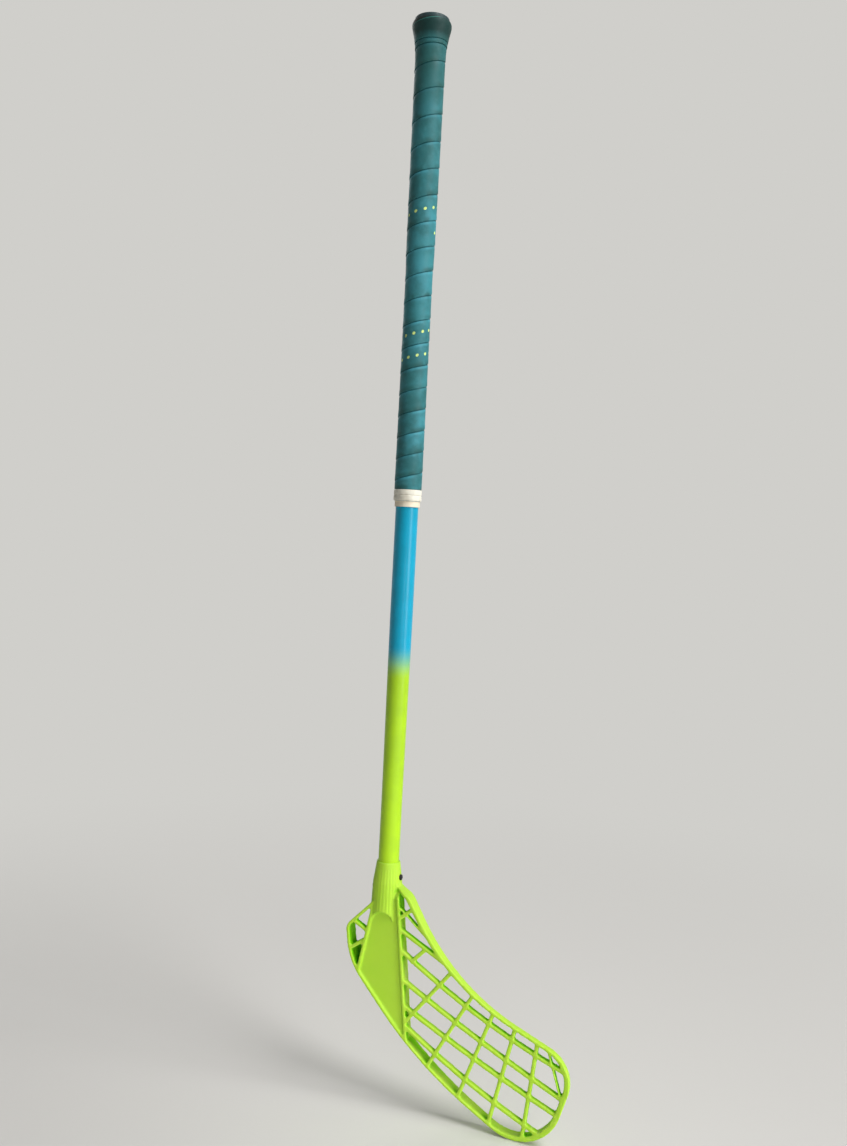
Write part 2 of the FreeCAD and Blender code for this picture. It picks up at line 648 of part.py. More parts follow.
def make_blade():
    """The blade: one moulding of socket, rim, spine, strut, panel and lattice."""
    edge = outline()
    wall = size("rim_wall")
    rib = size("rib_width")
    whole = prism(edge)
    upper_slab = slab(depths("0"), depths("rim_depth", "upper_depth", "toe_depth"))
    lower_slab = slab(depths("0"), depths("rim_depth", "lower_depth", "toe_depth"))
    rib_slab = slab(depths("rib_inset"), depths("rib_inset + rib_depth"))
    panel_slab = slab(depths("panel_inset"), depths("panel_inset + panel_thick"))
    pocket_slab = slab(depths("rim_depth - pocket_thick"), depths("rim_depth"))

    spine = ((size("spine_top"), size("spine_rise")), (size("spine_foot"), -size("spine_drop")))
    strut = ((-size("strut_top"), 0), (-size("strut_foot"), -size("strut_drop")))

    def carried(line, reach):
        """A line of the drawing carried on at both ends."""
        (x0, z0), (x1, z1) = line
        run = Vector(x1 - x0, 0, z1 - z0).normalize() * reach
        return (x0 - run.x, z0 - run.z), (x1 + run.x, z1 + run.z)

    past = size("foot_dia")
    far = size(BLADE_FAR)
    spine_top, spine_foot = carried(spine, past)
    strut_top, strut_foot = carried(strut, past)
    toe_side = area([spine_top, spine_foot, (far, spine_foot[1]), (far, spine_top[1])])
    toe_side = toe_side.fuse(area([spine_foot, (spine_foot[0], -far), (far, -far), (far, spine_foot[1])]))
    heel_side = area([strut_top, strut_foot, (-far, strut_foot[1]), (-far, strut_top[1])])
    between = area([strut_top, spine_top, spine_foot, strut_foot])

    spine_wall = strip(spine_top, spine_foot, wall).common(whole).common(lower_slab)
    strut_wall = strip(strut_top, strut_foot, wall).common(whole).common(lower_slab)
    panel = between.common(whole).common(panel_slab)

    def spine_at(drop):
        """The spine's place at a height below the socket's foot."""
        share = (drop + spine[0][1]) / (spine[0][1] - spine[1][1])
        return spine[0][0] + share * (spine[1][0] - spine[0][0])

    def long_rib(name):
        """Start and end of a long rib, from the spine to past the toe."""
        drop = size(f"{name}_drop")
        slope = math.radians(size(f"{name}_slope"))
        bend = size(f"{name}_bend")
        length = size("toe_x - spine_foot") / math.cos(slope)
        turn = length / (2 * bend)
        start = (spine_at(drop), -drop)
        run = (math.cos(slope - turn), -math.sin(slope - turn))
        return start, (start[0] + length * run[0], start[1] + length * run[1]), bend

    lattice = []
    for name, *_ in LONG_RIBS:
        start, end, bend = long_rib(name)
        lattice.append(strip(start, end, rib, bend))
    guide_start, guide_end, _ = long_rib(LONG_RIBS[1][0])
    guide = Vector(guide_end[0] - guide_start[0], 0, guide_end[1] - guide_start[1]).normalize()
    reach = size("tip_x")
    for name, *_ in CROSS_RIBS:
        along = size(f"{name}_along")
        lean = math.radians(size(f"{name}_lean"))
        x = guide_start[0] + guide.x * along
        z = guide_start[1] + guide.z * along
        step = (math.cos(lean) * reach, math.sin(lean) * reach)
        lattice.append(strip((x - step[0], z - step[1]), (x + step[0], z + step[1]), rib_width(name)))
    for name, *_ in SHORT_RIBS:
        lattice.append(strip(*rib_ends(name), rib_width(name)))
    ribs = lattice[0].multiFuse(lattice[1:]).common(toe_side).common(whole).common(rib_slab)

    inside = prism(edge.makeOffset2D(-wall))
    toe_inside = inside.copy()
    toe_inside.translate(Vector(-1, 0, 0.5) * size("toe_wall - rim_wall"))
    walls = whole.cut(inside.common(toe_inside))
    (left, left_z), (right, right_z) = carried((guide_start, guide_end), far)
    above = area([(left, left_z), (right, right_z), (right, far), (left, far)])
    upper_rim = walls.common(above).common(upper_slab)
    lower_rim = walls.cut(above).common(lower_slab)

    wing = [strip(*rib_ends(name), rib) for name, *_ in WING_RIBS]
    wing_ribs = wing[0].fuse(wing[1]).common(heel_side).common(whole).common(rib_slab)
    pocket_start, pocket_end = rib_ends("wing_lower")
    pocket = area([pocket_start, pocket_end, (pocket_end[0], -far), (pocket_start[0], -far)])
    pocket = pocket.common(heel_side).common(whole).common(pocket_slab)

    pieces = [lower_rim, spine_wall, strut_wall, panel, ribs, wing_ribs, pocket, make_hosel()]
    moulding = upper_rim.multiFuse(pieces)

    tools = flutes()
    bore = size("tip_dia / 2 + socket_fit")
    floor = size(f"{FOOT} + socket_floor")
    tools.append(Part.makeCylinder(bore, size("shaft_length"), Vector(0, 0, floor), UP))
    for _, turn, height in SCREWS:
        out = outwards(turn)
        level = UP * size(height)
        hole = size("screw_dia / 2 + screw_hole_clear")
        tools.append(Part.makeCylinder(hole, size("foot_dia"), level, out))
        seat = out * size(SCREW_SEAT) + level
        tools.append(Part.makeCylinder(size("head_dia / 2 + seat_clear"), size("foot_dia"), seat, out))
    moulding = moulding.cut(tools).removeSplitter()
    blade = doc.addObject("Part::Feature", "blade")
    blade.Shape = moulding.Solids[0] if len(moulding.Solids) == 1 else moulding
    blade.Placement = FreeCAD.Placement()
    return blade


nodes = [
    make_shaft(),
    make_butt_cap(),
    make_underlay(),
    make_grip_tape(),
    make_grip_ring(),
    make_finishing_tape(),
    make_blade(),
]
for screw in SCREWS:
    nodes.append(make_screw(*screw))
for node in nodes:
    node.Label = node.Name
doc.recompute()

for item in doc.Objects:
    if "Invalid" in item.State or "Error" in item.State:
        raise RuntimeError(f"{item.Name} did not build: {item.State}")
for node in nodes:
    if node.Shape.isNull() or not node.Shape.isValid() or len(node.Shape.Solids) != 1:
        raise RuntimeError(f"{node.Label} is not one valid solid")

os.makedirs("parts", exist_ok=True)
for node in nodes:
    node.Shape.exportStep(f"parts/{node.Label}.step")
    box = node.Shape.BoundBox
    print(f"{node.Label}: {node.Shape.Volume:.0f} mm3, z {box.ZMin:.1f} to {box.ZMax:.1f}")
print(f"grip tape: {seam_turns():.1f} turns, least gap between turns {seam_clearance():.2f} mm")
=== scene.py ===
"""Floorball stick: the finished pieces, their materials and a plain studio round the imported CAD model."""
import math

import bmesh
import bpy
import numpy as np
from bpy.props import FloatProperty, FloatVectorProperty, IntProperty, PointerProperty
from mathutils import Matrix, Vector
from mathutils.bvhtree import BVHTree


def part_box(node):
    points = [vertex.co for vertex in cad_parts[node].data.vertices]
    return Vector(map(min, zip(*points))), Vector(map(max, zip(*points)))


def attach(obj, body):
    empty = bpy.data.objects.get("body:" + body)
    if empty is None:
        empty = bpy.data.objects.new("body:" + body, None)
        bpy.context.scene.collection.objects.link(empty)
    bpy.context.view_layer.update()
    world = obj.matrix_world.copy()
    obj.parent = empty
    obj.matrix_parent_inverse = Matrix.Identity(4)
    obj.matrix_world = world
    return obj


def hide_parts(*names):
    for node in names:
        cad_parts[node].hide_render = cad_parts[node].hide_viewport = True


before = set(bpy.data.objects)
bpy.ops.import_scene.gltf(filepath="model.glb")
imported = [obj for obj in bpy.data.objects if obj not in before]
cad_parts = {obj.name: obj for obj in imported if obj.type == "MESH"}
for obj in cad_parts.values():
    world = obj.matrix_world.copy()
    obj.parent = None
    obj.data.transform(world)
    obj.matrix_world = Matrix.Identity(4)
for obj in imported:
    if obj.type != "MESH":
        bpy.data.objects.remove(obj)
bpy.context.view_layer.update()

bl_info = {
    "name": "Floorball Stick",
    "version": (1, 0, 0),
    "blender": (4, 5, 0),
    "location": "View3D > Sidebar > Stick",
    "description": "Builds the looks of a floorball stick on its CAD frame",
    "category": "Object",
}

# Heights on the shaft, from the CAD nodes
GRIP_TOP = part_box("grip_tape")[1].z
GRIP_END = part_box("grip_tape")[0].z
FOAM_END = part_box("grip_underlay")[0].z
RING_END, RING_TOP = (corner.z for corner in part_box("grip_ring"))
FINISH_END, FINISH_TOP = (corner.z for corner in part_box("finishing_tape"))
SHAFT_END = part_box("shaft")[0].z
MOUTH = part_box("blade")[1].z
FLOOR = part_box("blade")[0].z
GRIP_LENGTH = GRIP_TOP - GRIP_END

# Foot of the blade's socket, below the shaft's end by the socket's floor and a gap
SOCKET_FOOT = SHAFT_END - 0.0031

# Radius inside what is wound round the shaft or pushed over it
SLEEVE = 0.0111

# Values that the meshes keep for each of their points, for the materials
TAPE_MARKS = ("along", "from_line", "to_edge", "printed")
BLADE_MARKS = ("sheltered", "edge")


def written(red, green, blue):
    """A colour as it is read off a screen, in the linear values that shaders take."""
    def linear(level):
        share = level / 255
        return share / 12.92 if share <= 0.04045 else ((share + 0.055) / 1.055) ** 2.4
    return (linear(red), linear(green), linear(blue))


def length(label, about, default):
    """A property for a length in metres."""
    return FloatProperty(name=label, description=about, default=default, unit="LENGTH", precision=5)


def colour(label, about, default):
    """A property for a colour."""
    return FloatVectorProperty(name=label, description=about, default=default, subtype="COLOR", min=0, max=1)


def power(label, about, default):
    """A property for the power of a lamp."""
    return FloatProperty(name=label, description=about, default=default, min=0, unit="POWER")


def stretch(label, about, default):
    """A property for a stretch of the tape, from one turn to another."""
    return FloatVectorProperty(name=label, description=about, default=default, size=2)


class ShaftSettings(bpy.types.PropertyGroup):
    """Lacquer of the shaft."""
    upper: colour("Upper colour", "Lacquer below the grip", written(0, 164, 200))
    lower: colour("Lower colour", "Lacquer above the blade", written(170, 214, 26))
    core: colour("Core colour", "Bare composite inside the tube", written(34, 34, 36))
    fade_top: length("Fade top", "Height where the upper colour starts to fade", -0.608)
    fade_end: length("Fade end", "Height where the lower colour is full", -0.641)


class GripSettings(bpy.types.PropertyGroup):
    """Wound tape and the foam below it."""
    tape: colour("Tape colour", "Soft grip tape", written(58, 132, 140))
    shade: colour("Shade colour", "Darker patches of the tape", written(32, 80, 76))
    # The bright colour is a lighter tone of the tape at random, and also the painted highlight below each
    # line of the winding.
    bright: colour("Bright colour", "Clean tape below the lines of the winding", written(74, 158, 174))
    dots: colour("Dot colour", "Printed dots on the tape", written(222, 244, 140))
    foam: colour("Foam colour", "Sleeve below the tape", written(52, 54, 56))
    first_line: length("First line", "Top of the tape to the first full line of the winding", 0.0229)
    ring_line: length("Ring line", "Distance of the level turn's edge above that line", 0.0044)
    advance_top: length("First advance", "Advance of the winding near the top, for each turn", 0.02668)
    advance_end: length("Last advance", "Advance of the winding near the ring, for each turn", 0.02035)
    lead: FloatProperty(name="Lead", description="Turns from level to full advance", default=0.54, min=0.05)
    margin: length("Margin", "Thickness of the tape's upper margin, below the turn above", 0.00115)
    layer: length("Layer", "Thickness of the tape across its width", 0.0017)
    crest: length("Crest", "Height of its lower edge over the turn below", 0.0019)
    overlap: length("Overlap", "Width of a turn that lies under the one above it", 0.003)
    stations: IntProperty(name="Stations", description="Steps for each turn of tape", default=96, min=24)
    dot_size: length("Dot radius", "Radius of a printed dot", 0.00142)
    dot_step: length("Dot spacing", "Middle to middle of the dots, along the tape", 0.0090)
    dot_shift: length("Dot shift", "Shift of the dots along the tape", 0.0038)
    first_print: stretch("First dots", "Turns between which the first dots run", (6.9, 8.09))
    second_print: stretch("Second dots", "Turns between which the second dots run", (11.9, 13.6))


class FittingSettings(bpy.types.PropertyGroup):
    """Cap, ring, finishing tape and screws."""
    cap: colour("Cap colour", "Rubber butt cap", written(24, 52, 56))
    ring: colour("Ring colour", "Rubber ring below the grip", written(236, 233, 218))
    film: colour("Film colour", "Finishing tape", written(238, 226, 202))
    screw: colour("Screw colour", "Blackened steel", written(22, 22, 23))
    groove: length("Ring groove", "Depth of the groove round the ring's middle", 0.0009)
    film_thick: length("Film thickness", "One layer of the finishing tape", 0.00042)
    film_turns: FloatProperty(
        name="Film turns", description="Turns of the finishing tape", default=2.1, min=1)


class BladeSettings(bpy.types.PropertyGroup):
    """Moulded blade."""
    plastic: colour("Plastic colour", "Moulded blade", written(171, 211, 62))
    # The recess shade colour is painted shade between the ribs, in the deep green of light through the
    # plastic.
    recess_shade: colour("Deep colour", "Plastic between the ribs, lit through its own walls", written(112, 196, 0))
    # The rubbed colour is a painted highlight along the blade's edges, and their wear.
    rubbed: colour("Rubbed colour", "Plastic along its edges", written(210, 240, 118))
    scuff: colour("Scuff colour", "Worn plastic along the lower edge", written(206, 228, 130))
    cell: length("Cell", "Size of the cells that its surface is rebuilt in", 0.00085)
    rounds: IntProperty(name="Rounds", description="Passes that soften its edges", default=3, min=0)
    flutes: IntProperty(name="Flutes", description="Flutes round the socket", default=28, min=3)
    flute_depth: length("Flute depth", "Depth of a flute", 0.00035)


class StageSettings(bpy.types.PropertyGroup):
    """Floor, light and camera."""
    floor: colour("Floor colour", "Plain floor", written(212, 210, 206))
    backdrop: colour("Backdrop colour", "Plain background", written(208, 207, 203))
    ambient: FloatProperty(name="Ambient", description="Light from all round", default=0.11, min=0)
    key: power("Key", "Soft light from above", 160)
    fill: power("Fill", "Soft light from the right", 29)
    low: power("Low", "Soft light on the blade's front", 0.44)
    rear: power("Rear", "Soft light from behind", 15)
    turn: FloatProperty(
        name="Turn", description="Turn of the stick's toe towards the camera", default=math.radians(18),
        subtype="ANGLE", unit="ROTATION")


# Mesh making

def added(name, points, faces, sharp=35):
    """A new object from points and faces, shaded smooth but for its sharp edges."""
    mesh = bpy.data.meshes.new(name)
    mesh.from_pydata([tuple(point) for point in points], [], [tuple(face) for face in faces])
    if mesh.validate():
        raise RuntimeError(f"{name} has faulty faces")
    mesh.shade_smooth()
    mesh.set_sharp_from_angle(angle=math.radians(sharp))
    piece = bpy.data.objects.new(name, mesh)
    bpy.context.scene.collection.objects.link(piece)
    return piece


def rounded(corners, steps=6):
    """Profile points for (radius, height, rounding) corners, in order round a closed profile."""
    count = len(corners)
    points = []
    for index, (radius, height, rounding) in enumerate(corners):
        here = Vector((radius, height))
        if rounding == 0:
            points.append(here)
            continue
        back = (Vector(corners[index - 1][:2]) - here).normalized()
        ahead = (Vector(corners[(index + 1) % count][:2]) - here).normalized()
        half = back.angle(ahead) / 2
        reach = rounding / math.tan(half)
        centre = here + (back + ahead).normalized() * rounding / math.sin(half)
        start = here + back * reach - centre
        end = here + ahead * reach - centre
        bend = start.angle(end)
        for step in range(steps + 1):
            share = step / steps
            arm = (start * math.sin((1 - share) * bend) + end * math.sin(share * bend)) / math.sin(bend)
            points.append(centre + arm)
    return points


def turned(name, profile, segments=96):
    """A piece turned about Z from a closed profile, which may start and end on the axis."""
    on_axis = profile[0][0] == 0
    points = []
    rows = []
    for radius, height in profile:
        if radius == 0:
            rows.append([len(points)] * segments)
            points.append((0, 0, height))
            continue
        rows.append(range(len(points), len(points) + segments))
        for step in range(segments):
            angle = 2 * math.pi * step / segments
            points.append((radius * math.cos(angle), radius * math.sin(angle), height))
    faces = []
    last = len(rows) - 1 if on_axis else len(rows)
    for index in range(last):
        here, below = rows[index], rows[(index + 1) % len(rows)]
        for step in range(segments):
            ahead = (step + 1) % segments
            corners = (here[step], below[step], below[ahead], here[ahead])
            faces.append(tuple(dict.fromkeys(corners)))
    return added(name, points, faces)


def swept(name, sections, sharp=35):
    """A closed strip through a row of sections, all with the same count of points, with flat ends."""
    stations, around, _ = sections.shape
    faces = []
    for station in range(stations - 1):
        here = station * around
        for step in range(around):
            ahead = (step + 1) % around
            faces.append((here + step, here + ahead, here + around + ahead, here + around + step))
    faces.append(range(around - 1, -1, -1))
    faces.append(range((stations - 1) * around, stations * around))
    return added(name, sections.reshape(-1, 3), faces, sharp)


def ringed(radius, angle, height):
    """Points at radii, angles and heights round the shaft."""
    return np.stack([radius * np.cos(angle), radius * np.sin(angle), height], axis=-1)


def vectors(mesh, name):
    """A vector at each point of a mesh."""
    values = np.empty(len(mesh.vertices) * 3, np.float32)
    mesh.vertices.foreach_get(name, values)
    return values.reshape(-1, 3)


def keep_marks(mesh, names, marks):
    """Keeps values for each point of a mesh, under their names."""
    for name, values in zip(names, marks):
        layer = mesh.attributes.new(name, "FLOAT", "POINT")
        layer.data.foreach_set("value", values.astype(np.float32).ravel())


def dressed(piece, body, node, material):
    """Puts a piece in the place of its CAD node."""
    piece.data.materials.clear()
    piece.data.materials.append(material)
    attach(piece, body)
    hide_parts(node)


def eased(value, low, high):
    """Smooth rise from 0 at low to 1 at high."""
    share = np.clip((value - low) / (high - low), 0, 1)
    return share * share * (3 - 2 * share)


# Material making

def node(tree, kind, inputs=(), **settings):
    """A new node with its settings, and its inputs set to values or joined to sockets."""
    made = tree.nodes.new(kind)
    for name, value in settings.items():
        setattr(made, name, value)
    for name, value in dict(inputs).items():
        if isinstance(value, bpy.types.NodeSocket):
            tree.links.new(value, made.inputs[name])
        else:
            made.inputs[name].default_value = value
    return made


def sums(tree, operation, first, second=0.0):
    """A sum of two values or sockets."""
    return node(tree, "ShaderNodeMath", {0: first, 1: second}, operation=operation).outputs[0]


def ramp(tree, value, low, high, first=0.0, last=1.0):
    """A value carried smoothly from one range to another."""
    inputs = {"Value": value, "From Min": low, "From Max": high, "To Min": first, "To Max": last}
    return node(tree, "ShaderNodeMapRange", inputs, interpolation_type="SMOOTHSTEP").outputs[0]


def mixed(tree, share, first, second):
    """Two colours mixed by a share."""
    made = tree.nodes.new("ShaderNodeMix")
    made.data_type = "RGBA"
    for index, value in ((0, share), (6, first), (7, second)):
        if isinstance(value, bpy.types.NodeSocket):
            tree.links.new(value, made.inputs[index])
        elif index:
            made.inputs[index].default_value = (*value, 1)
        else:
            made.inputs[index].default_value = value
    return made.outputs[2]


def noise(tree, place, scale, detail=3.0, rough=0.55):
    """Even noise at a scale in turns per metre."""
    inputs = {"Vector": place, "Scale": scale, "Detail": detail, "Roughness": rough}
    return node(tree, "ShaderNodeTexNoise", inputs).outputs["Fac"]


def bumped(tree, height, depth, strength, under=None):
    """A bump from a height, laid over another bump."""
    inputs = {"Height": height, "Distance": depth, "Strength": strength}
    if under is not None:
        inputs["Normal"] = under
    return node(tree, "ShaderNodeBump", inputs).outputs["Normal"]


def read_marks(tree, names):
    """Values that the mesh keeps for each of its points."""
    return [node(tree, "ShaderNodeAttribute", attribute_name=name).outputs["Fac"] for name in names]


def finish(name, **sockets):
    """A new material with its shader's even values set, its node tree, shader and place on the piece."""
    material = bpy.data.materials.new(name)
    material.use_nodes = True
    tree = material.node_tree
    shader = tree.nodes["Principled BSDF"]
    for socket, value in sockets.items():
        shader.inputs[socket.replace("_", " ")].default_value = value
    place = node(tree, "ShaderNodeTexCoord").outputs["Object"]
    return material, tree, shader, place


def joined(tree, shader, **sockets):
    """Joins sockets to the shader's inputs."""
    for socket, source in sockets.items():
        tree.links.new(source, shader.inputs[socket.replace("_", " ")])


def heights(tree, place):
    """The height of a point, and its distance from the shaft's axis."""
    parts = node(tree, "ShaderNodeSeparateXYZ", {0: place}).outputs
    across = node(tree, "ShaderNodeCombineXYZ", {0: parts[0], 1: parts[1]}).outputs[0]
    out = node(tree, "ShaderNodeVectorMath", {0: across}, operation="LENGTH").outputs["Value"]
    return parts, out


def seen_rays(tree):
    """1 for what the camera sees, straight or by gloss or glass."""
    rays = node(tree, "ShaderNodeLightPath").outputs
    seen = sums(tree, "MAXIMUM", rays["Is Camera Ray"], rays["Is Glossy Ray"])
    return sums(tree, "MAXIMUM", seen, rays["Is Transmission Ray"])


def lacquer(look):
    """Glossy lacquer that fades from one colour to the other, over dark composite inside the tube."""
    material, tree, shader, place = finish(
        "shaft_lacquer", IOR=1.5, Coat_Weight=0.15, Coat_Roughness=0.2, Specular_IOR_Level=0.25)
    scatter = 0.010
    bore, skin = 0.0097, 0.0099
    parts, out = heights(tree, place)
    spray = noise(tree, place, 2600, 2.0)
    height = sums(tree, "MULTIPLY_ADD", spray, scatter)
    height.node.inputs[2].default_value = -scatter / 2
    level = sums(tree, "ADD", parts[2], height)
    fade = ramp(tree, level, look.fade_top, look.fade_end)
    paint = mixed(tree, fade, look.upper, look.lower)
    cloud = ramp(tree, noise(tree, place, 60), 0.3, 0.7, 0.0, 0.10)
    paint = mixed(tree, cloud, paint, written(10, 70, 60))
    tint = mixed(tree, ramp(tree, out, bore, skin), look.core, paint)
    fine = noise(tree, place, 900, 4.0)
    rubbed = node(tree, "ShaderNodeMapping", {"Vector": place, "Scale": (4000, 4000, 60)}).outputs[0]
    streaks = noise(tree, rubbed, 1.0, 2.0)
    satin = ramp(tree, fine, 0.3, 0.7, 0.34, 0.44)
    wiped = ramp(tree, streaks, 0.55, 0.8, 0.0, 0.08)
    gloss = sums(tree, "ADD", satin, wiped)
    joined(tree, shader, Base_Color=tint, Roughness=gloss, Normal=bumped(tree, fine, 0.00004, 0.25))
    return material


def rubber(look):
    """Moulded rubber of the cap, dusty on its faces and rubbed at its edge."""
    material, tree, shader, place = finish("cap_rubber", IOR=1.5, Specular_IOR_Level=0.45)
    dust = ramp(tree, noise(tree, place, 220, 4.0), 0.45, 0.75, 0.0, 0.35)
    tint = mixed(tree, dust, look.cap, written(60, 92, 96))
    grain = noise(tree, place, 3200, 2.0)
    gloss = ramp(tree, noise(tree, place, 400), 0.3, 0.7, 0.42, 0.62)
    joined(tree, shader, Base_Color=tint, Roughness=gloss, Normal=bumped(tree, grain, 0.00012, 0.35))
    return material


def foam(look):
    """Closed-cell foam."""
    material, tree, shader, place = finish("underlay_foam", IOR=1.4, Specular_IOR_Level=0.2)
    cells = node(tree, "ShaderNodeTexVoronoi", {"Vector": place, "Scale": 1600}).outputs["Distance"]
    tint = mixed(tree, ramp(tree, cells, 0.1, 0.6, 0.5, 0.0), look.foam, written(24, 25, 26))
    gloss = ramp(tree, cells, 0.0, 0.7, 0.95, 0.75)
    joined(tree, shader, Base_Color=tint, Roughness=gloss, Normal=bumped(tree, cells, 0.0003, 0.6))
    return material


def wrap_wear(tree, place, look, from_line, to_edge):
    """Colour of the tape: cloudy, with a painted highlight in a band below each line of the winding, and dull
    above the lines.
    """
    clean = ramp(tree, noise(tree, place, 17, 2.0), 0.4, 0.62, 0.0, 0.5)
    tint = mixed(tree, clean, look.tape, look.bright)
    blotch = ramp(tree, noise(tree, place, 42, 4.0), 0.3, 0.7, 0.0, 0.65)
    tint = mixed(tree, blotch, tint, look.shade)
    worn = ramp(tree, noise(tree, place, 160, 5.0), 0.52, 0.8, 0.0, 0.25)
    tint = mixed(tree, worn, tint, written(92, 146, 150))
    # Painted highlight: a lighter band below each line of the winding, in patches.
    below = ramp(tree, from_line, 0.0045, 0.0012, 0.0, 0.7)
    patches = ramp(tree, noise(tree, place, 55, 2.0), 0.35, 0.62)
    tint = mixed(tree, sums(tree, "MULTIPLY", below, patches), tint, look.bright)
    above = ramp(tree, to_edge, 0.006, 0.0006, 0.0, 0.7)
    patches = ramp(tree, noise(tree, place, 60, 2.0), 0.62, 0.38)
    return mixed(tree, sums(tree, "MULTIPLY", above, patches), tint, look.shade)


def wrap_knob(tree, place, look, tint):
    """Darkens the grip towards its top, paints shade on its knob and on the tape above a slanted line across
    the knob's lip, and paints a pale highlight along that line.
    """
    parts, _ = heights(tree, place)
    # The tape is darker towards the top of the grip.
    darkening_end, darkening_top = GRIP_TOP - 0.14, GRIP_TOP - 0.04
    top_darkening = ramp(tree, parts[2], darkening_end, darkening_top, 0.0, 0.7)
    tint = mixed(tree, top_darkening, tint, look.shade)
    # Painted shade on the knob's flare, which faces downwards, away from the light from above.
    knob_end, knob_top = GRIP_TOP - look.first_line + 0.002, GRIP_TOP - 0.011
    knob = ramp(tree, parts[2], knob_end, knob_top, 0.0, 0.9)
    tint = mixed(tree, knob, tint, written(6, 44, 40))
    slope, lip_level = (-0.166, -0.054, 1), GRIP_TOP - 0.0012
    slant = node(tree, "ShaderNodeVectorMath", {0: place, 1: slope}, operation="DOT_PRODUCT")
    over = sums(tree, "SUBTRACT", slant.outputs["Value"], lip_level)
    # Painted shade on the tape above the slanted line across the top of the knob's lip.
    tint = mixed(tree, ramp(tree, over, 0.0001, 0.0004, 0.0, 0.9), tint, written(10, 28, 26))
    # Painted highlight: a pale line along the knob's lip, just below that slanted line.
    lip = sums(tree, "MULTIPLY", ramp(tree, over, -0.0009, -0.0004), ramp(tree, over, 0.0004, 0.0001))
    return mixed(tree, lip, tint, written(48, 108, 100))


def wrap_dots(tree, place, look, along, across, printed):
    """Share of ink on the tape: a row of round dots along its middle, flaked in places."""
    step = sums(tree, "DIVIDE", sums(tree, "SUBTRACT", along, look.dot_shift), look.dot_step)
    beside = sums(tree, "SUBTRACT", sums(tree, "FRACT", step), 0.5)
    beside = sums(tree, "MULTIPLY", beside, look.dot_step)
    squares = [sums(tree, "POWER", sums(tree, "ABSOLUTE", way), 2.0) for way in (beside, across)]
    reach = sums(tree, "SQRT", sums(tree, "ADD", *squares))
    dot = ramp(tree, reach, look.dot_size * 1.08, look.dot_size * 0.92)
    flaked = ramp(tree, noise(tree, place, 1500, 3.0), 0.36, 0.46, 0.35, 1.0)
    return sums(tree, "MULTIPLY", sums(tree, "MULTIPLY", dot, printed), flaked)


def wrap(look):
    """Soft tape: matt skin with fine grain, painted shade along the lines of the winding, with printed dots.
    """
    material, tree, shader, place = finish("grip_wrap", IOR=1.45, Specular_IOR_Level=0.3)
    along, from_line, to_edge, printed = read_marks(tree, TAPE_MARKS)
    tint = wrap_wear(tree, place, look, from_line, to_edge)
    tint = wrap_knob(tree, place, look, tint)
    # Painted shade along each line of the winding, under the edge of the turn above: the tape darkens to deep
    # teal there.
    line_shade = ramp(tree, from_line, 0.0002, 0.0015, 0.9, 0.0)
    tint = mixed(tree, line_shade, tint, written(0, 74, 78))
    across = sums(tree, "MULTIPLY", sums(tree, "SUBTRACT", from_line, to_edge), 0.5)
    ink = wrap_dots(tree, place, look, along, across, printed)
    tint = mixed(tree, ink, tint, look.dots)
    grain = noise(tree, place, 2600, 3.0)
    crease = noise(tree, place, 260, 4.0)
    relief = bumped(tree, crease, 0.0005, 0.25)
    relief = bumped(tree, grain, 0.00012, 0.5, relief)
    gloss = ramp(tree, noise(tree, place, 120), 0.3, 0.7, 0.48, 0.66)
    joined(tree, shader, Base_Color=tint, Roughness=gloss, Normal=relief)
    return material


def cream(name, tone, dirt, grain_scale, low, high):
    """Pale rubber or film that has picked up some dirt."""
    material, tree, shader, place = finish(name, IOR=1.48, Specular_IOR_Level=0.45)
    smudge = ramp(tree, noise(tree, place, 120, 2.0), 0.45, 0.8, 0.0, 0.4)
    tint = mixed(tree, smudge, tone, dirt)
    grain = noise(tree, place, grain_scale, 2.0)
    gloss = ramp(tree, noise(tree, place, 500), 0.3, 0.7, low, high)
    joined(tree, shader, Base_Color=tint, Roughness=gloss, Normal=bumped(tree, grain, 0.0001, 0.35))
    return material


